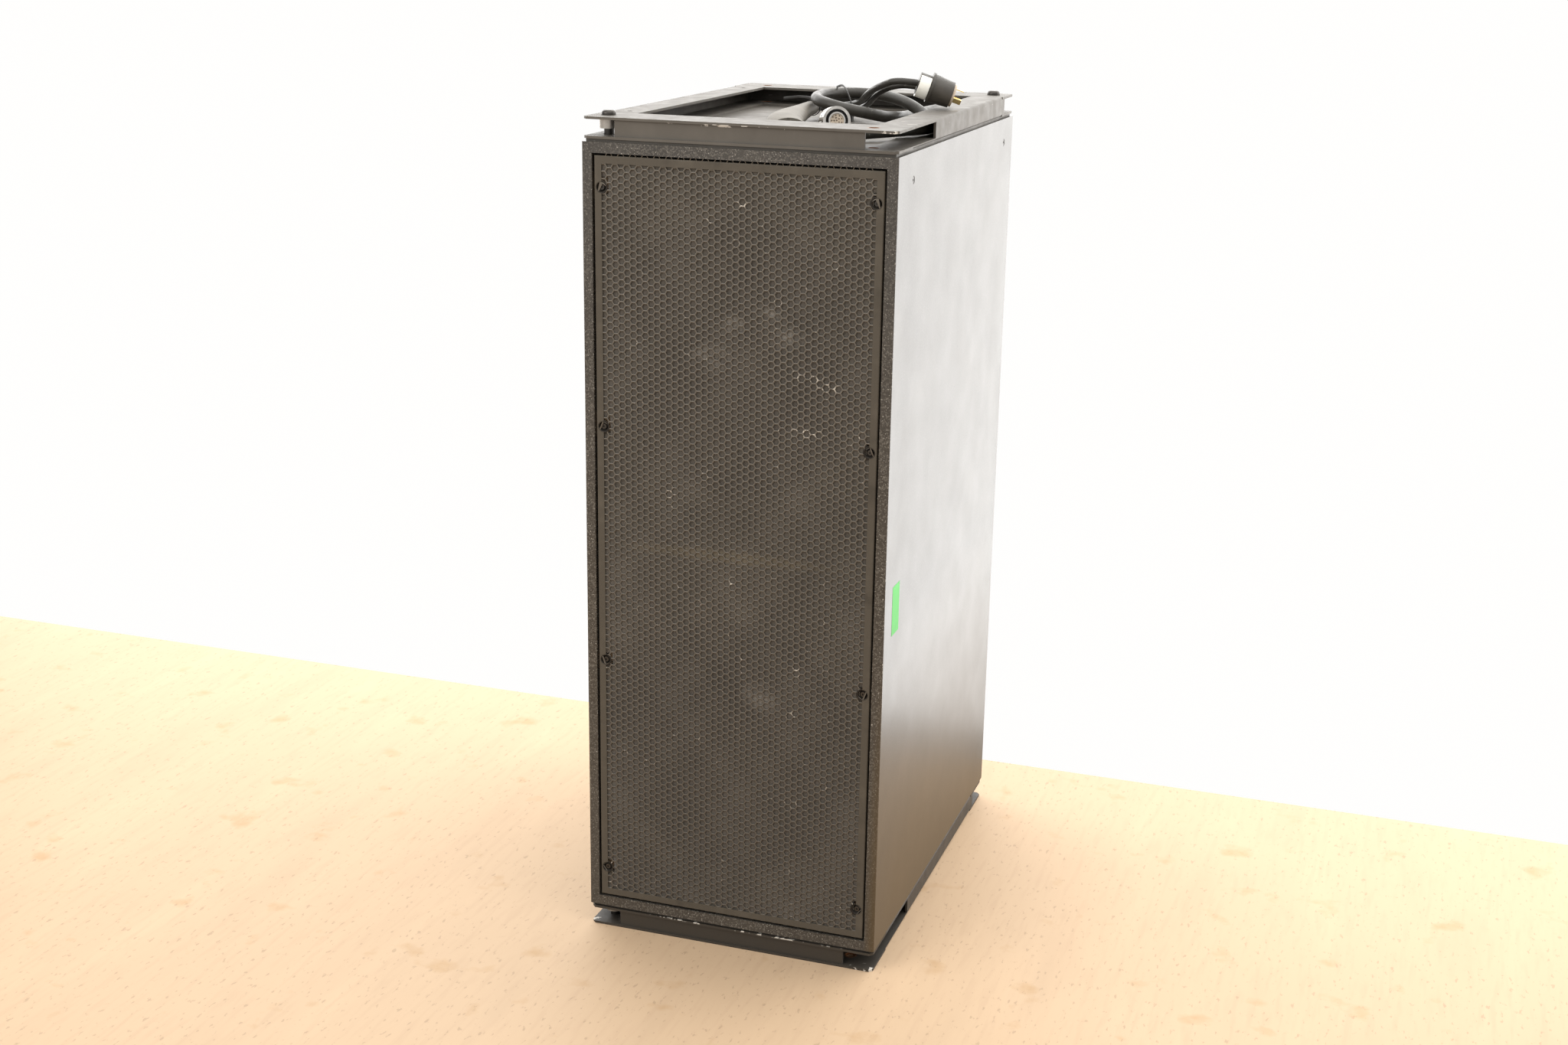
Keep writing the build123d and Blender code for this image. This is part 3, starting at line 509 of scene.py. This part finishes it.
def foam_pad():
    """Thin open-cell foam behind the sheet: a gently uneven face with gaps for the cups."""
    low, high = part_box("grille_foam")
    bm = bmesh.new()
    across, up = 90, 240
    gap_x, gap_across, gap_up = 0.226, 0.013, 0.011
    front = []
    for j in range(up + 1):
        z = low.z + (high.z - low.z) * j / up
        row = []
        for i in range(across + 1):
            x = low.x + (high.x - low.x) * i / across
            swell = 0.0006 * sin(x * 31 + 1.3) * sin(z * 17 + 0.4) + 0.0004 * sin(x * 73) * sin(z * 61)
            row.append(bm.verts.new((x, low.y + 0.0016 + swell, z)))
        front.append(row)
    for j in range(up):
        for i in range(across):
            corner = front[j][i].co
            by_a_cup = any(abs(corner.z - cz) < gap_up for _, cz in CUPS)
            if by_a_cup and abs(abs(corner.x) - gap_x) < gap_across:
                continue
            bm.faces.new((front[j][i], front[j][i + 1], front[j + 1][i + 1], front[j + 1][i]))
    loose = [v for v in bm.verts if not v.link_faces]
    bmesh.ops.delete(bm, geom=loose, context="VERTS")
    pad = new_piece("foam_pad", bm, "foam", smooth=True)
    thick = pad.modifiers.new("thickness", "SOLIDIFY")
    thick.thickness = 0.005
    thick.offset = -1
    return pad


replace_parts(foam_pad(), "grille_foam")


# ---- leads: (x, distance behind the front face, height above the end plate), in millimetres ----
TRUNK_ROUTE = [
    (146, 655, 11), (137, 608, 10.5), (131, 545, 10), (127, 470, 10.5), (118, 412, 14.5),
    (97, 364, 24), (53, 346, 33.5), (11, 366, 40.5), (-9, 410, 43), (-7, 460, 44), (21, 502, 44.8),
    (66, 510, 43.8), (109, 484, 41), (146, 456, 33), (178, 434, 18.5), (204, 398, 14.5),
    (222, 344, 14.5), (227, 300, 14.5), (226, 252, 15), (206, 208, 15.5), (172, 170, 14),
    (130, 136, 11), (86, 114, 11.5), (48, 124, 14), (30, 156, 16)]
MAINS_ROUTE = [
    (-19, 441, 22), (-26, 474, 22.5), (-14, 505, 21), (17, 516, 22), (45, 496, 30), (65, 454, 43),
    (88, 413, 57), (114, 386, 69), (144, 371, 80), (176, 382, 75)]
SIGNAL_ROUTE = [
    (-30, 439, 22), (-37, 476, 21), (-27, 520, 14.5), (8, 538, 13), (43, 515, 19), (67, 477, 31),
    (87, 439, 46), (110, 414, 60), (136, 404, 68), (160, 408, 68), (180, 430, 62)]
PIGTAIL_ROUTE = [
    (30, 446, 8), (26, 404, 7.5), (26, 360, 7.5), (33, 318, 9), (47, 280, 13), (62, 255, 17)]


def well_point(point):
    return Vector((point[0] / 1000, FRONT + point[1] / 1000, WELL_Z + point[2] / 1000))


def well_curve(name, route):
    """A smooth line along a route in the well."""
    curve = bpy.data.curves.new(name, "CURVE")
    curve.dimensions = "3D"
    spline = curve.splines.new("NURBS")
    spline.points.add(len(route) - 1)
    for control, place in zip(spline.points, route):
        control.co = (*well_point(place), 1)
    spline.order_u = 3
    spline.use_endpoint_u = True
    return curve


def free_lead(name, route, diameter, node, **facts):
    """A round rubber lead that stands for a rigid one in the frame."""
    curve = well_curve(name, route)
    curve.bevel_depth = diameter / 2
    curve.bevel_resolution = 6
    curve.resolution_u = 10
    curve.use_fill_caps = True
    piece = bpy.data.objects.new(name, curve)
    bpy.context.scene.collection.objects.link(piece)
    repaint(piece, FINISHES["cable_rubber"])
    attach(piece, "cabinet")
    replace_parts(piece, node)


def node_list(*names):
    return [NODES[n] for n in names]


free_lead("trunk_cable", TRUNK_ROUTE, 0.019, "trunk_lead", length=1.18, far_end="fitting", stiffness="limp",
          lay="loose", with_pieces=node_list("breakout_boot", "cable_ties"))
free_lead("mains_cable", MAINS_ROUTE, 0.011, "mains_lead", length=0.333, far_end="plug", stiffness="limp",
          lay="loose", with_pieces=node_list("plug_body", "plug_clamp", "plug_face", "plug_blades"))
free_lead("signal_cable", SIGNAL_ROUTE, 0.0095, "signal_lead", length=0.368, far_end="connector",
          stiffness="limp", lay="loose", with_pieces=node_list("signal_plug"))
free_lead("pigtail_cable", PIGTAIL_ROUTE, 0.013, "pigtail_lead", length=0.199, far_end="connector",
          stiffness="medium", lay="loose",
          with_pieces=node_list("connector_shell", "connector_insert", "coupling_ring"))


# ---- small extras: the connector's seal, two tie tails and the frames' weld beads ----
def connector_seal():
    """A flat black ring in the gap between the contact insert's sleeve and the coupling ring."""
    joint = next(j for j in frame["record"]["behaviour"]["joints"] if j["child"] == "coupling_ring")
    axis = Vector(joint["axis"])
    seat = Vector(joint["pos_m"]) + axis * 0.0035
    place = Matrix.Translation(seat) @ axis.to_track_quat("Z", "Y").to_matrix().to_4x4()
    inner, outer = 0.0137, 0.0179
    bm = bmesh.new()
    ring_wall(bm, (0, 0), ((inner, 0.0), (outer, 0.0)))
    bm.transform(place @ Matrix.Rotation(pi / 2, 4, "X"))
    new_piece("connector_seal", bm, "soft_rubber")


def tie_tail(name, route):
    """A flat nylon strip along a route in the well."""
    curve = well_curve(name + "_line", route)
    curve.extrude = 0.0015
    curve.bevel_depth = 0.0005
    line = bpy.data.objects.new(name + "_line", curve)
    bm = bmesh.new()
    bm.from_mesh(bpy.data.meshes.new_from_object(line))
    bpy.data.objects.remove(line)
    new_piece(name, bm, "black_plastic", smooth=True)


connector_seal()
tie_tail("tie_tail_short", ((-26, 441, 38), (-44, 456, 39), (-60, 444, 38), (-74, 436, 36)))
tie_tail("tie_tail_long", ((6, 482, 54.5), (16, 474, 60), (34, 438, 60), (48, 416, 48), (55, 409, 35)))


def corner_welds():
    """Weld beads that close the back left corner of each frame, where the side web meets the back web."""
    bead = 0.004
    both_flanges = 0.008
    from_left, from_rear = 0.005, 0.0065
    bm = bmesh.new()
    for node in ("rail_top_back", "rail_bottom_back"):
        low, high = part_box(node)
        centre = Vector((low.x + from_left, high.y - from_rear, (low.z + high.z) / 2))
        size = Matrix.Diagonal((bead, bead, high.z - low.z - both_flanges, 1))
        bmesh.ops.create_cube(bm, size=1.0, matrix=Matrix.Translation(centre) @ size)
    new_piece("corner_welds", bm, "frame_steel")


corner_welds()


# ---- light, floor and camera ----
WALL_Y = 0.555             # where the floor ends and the bright wall begins


def area_light(name, place, target, size, power, color):
    data = bpy.data.lights.new(name, "AREA")
    data.shape = "RECTANGLE"
    data.size, data.size_y = size
    data.energy = power
    data.color = color
    lamp = bpy.data.objects.new(name, data)
    lamp.location = place
    lamp.rotation_euler = (Vector(target) - Vector(place)).to_track_quat("-Z", "Y").to_euler()
    lamp.visible_camera = False
    bpy.context.scene.collection.objects.link(lamp)


area_light("bright_wall", (0.9, WALL_Y + 0.15, 1.7), (0.9, -3.0, 1.7), (7.0, 3.4), 210, (1.0, 0.985, 0.96))
area_light("key", (-2.2, -3.2, 3.0), (0, 0, 0.7), (2.4, 2.4), 70, (1.0, 0.97, 0.93))
area_light("overhead", (0.6, -0.8, 3.6), (0.2, -0.2, 0), (3.0, 3.0), 60, (1.0, 0.98, 0.95))


def floor():
    """A pale wooden floor with faint grain, flecks and stains."""
    bm = bmesh.new()
    corners = ((-7, -5, 0), (7, -5, 0), (7, WALL_Y, 0), (-7, WALL_Y, 0))
    bm.faces.new([bm.verts.new(c) for c in corners])
    mesh = bpy.data.meshes.new("floor")
    bm.to_mesh(mesh)
    bm.free()
    plane = bpy.data.objects.new("floor", mesh)
    bpy.context.scene.collection.objects.link(plane)
    g = Graph("pale_floor", (0.490, 0.352, 0.228), 0.62)
    g.mottle(1.8, 0.06, (5, 1, 1))
    g.paint(g.math("MULTIPLY", g.remap(g.noise(9, 5, (9, 1, 1)), 0.50, 0.70), 0.45), (0.44, 0.31, 0.20))
    g.paint(g.math("MULTIPLY", g.remap(g.noise(55, 6, (2.5, 1, 1)), 0.62, 0.67), 0.45), (0.27, 0.19, 0.12))
    g.paint(g.math("MULTIPLY", g.remap(g.noise(11, 5), 0.62, 0.74), 0.5), (0.38, 0.23, 0.10))
    g.set(Specular_IOR_Level=0.2)
    plane.data.materials.append(g.material)


floor()

world = bpy.data.worlds.new("pale_room")
bpy.context.scene.world = world
world.use_nodes = True
world.node_tree.nodes["Background"].inputs["Color"].default_value = (1.0, 0.995, 0.985, 1)
world.node_tree.nodes["Background"].inputs["Strength"].default_value = 1.0

CAMERA_PLACE = (1.053, -3.263, 1.663)
CAMERA_TURN = 18.55        # degrees, as are the next two
CAMERA_DIP = 16.57
CAMERA_ROLL = 0.97
CAMERA_LENS = 46.36        # millimetres, on a sensor 36 wide
camera_data = bpy.data.cameras.new("camera")
camera_data.lens = CAMERA_LENS
camera_data.sensor_width = 36
camera = bpy.data.objects.new("camera", camera_data)
camera.matrix_world = (Matrix.Translation(CAMERA_PLACE) @ Matrix.Rotation(radians(CAMERA_TURN), 4, "Z")
                       @ Matrix.Rotation(radians(90 - CAMERA_DIP), 4, "X")
                       @ Matrix.Rotation(radians(CAMERA_ROLL), 4, "Z"))
bpy.context.scene.collection.objects.link(camera)
bpy.context.scene.camera = camera
bpy.context.scene.view_settings.view_transform = "Standard"
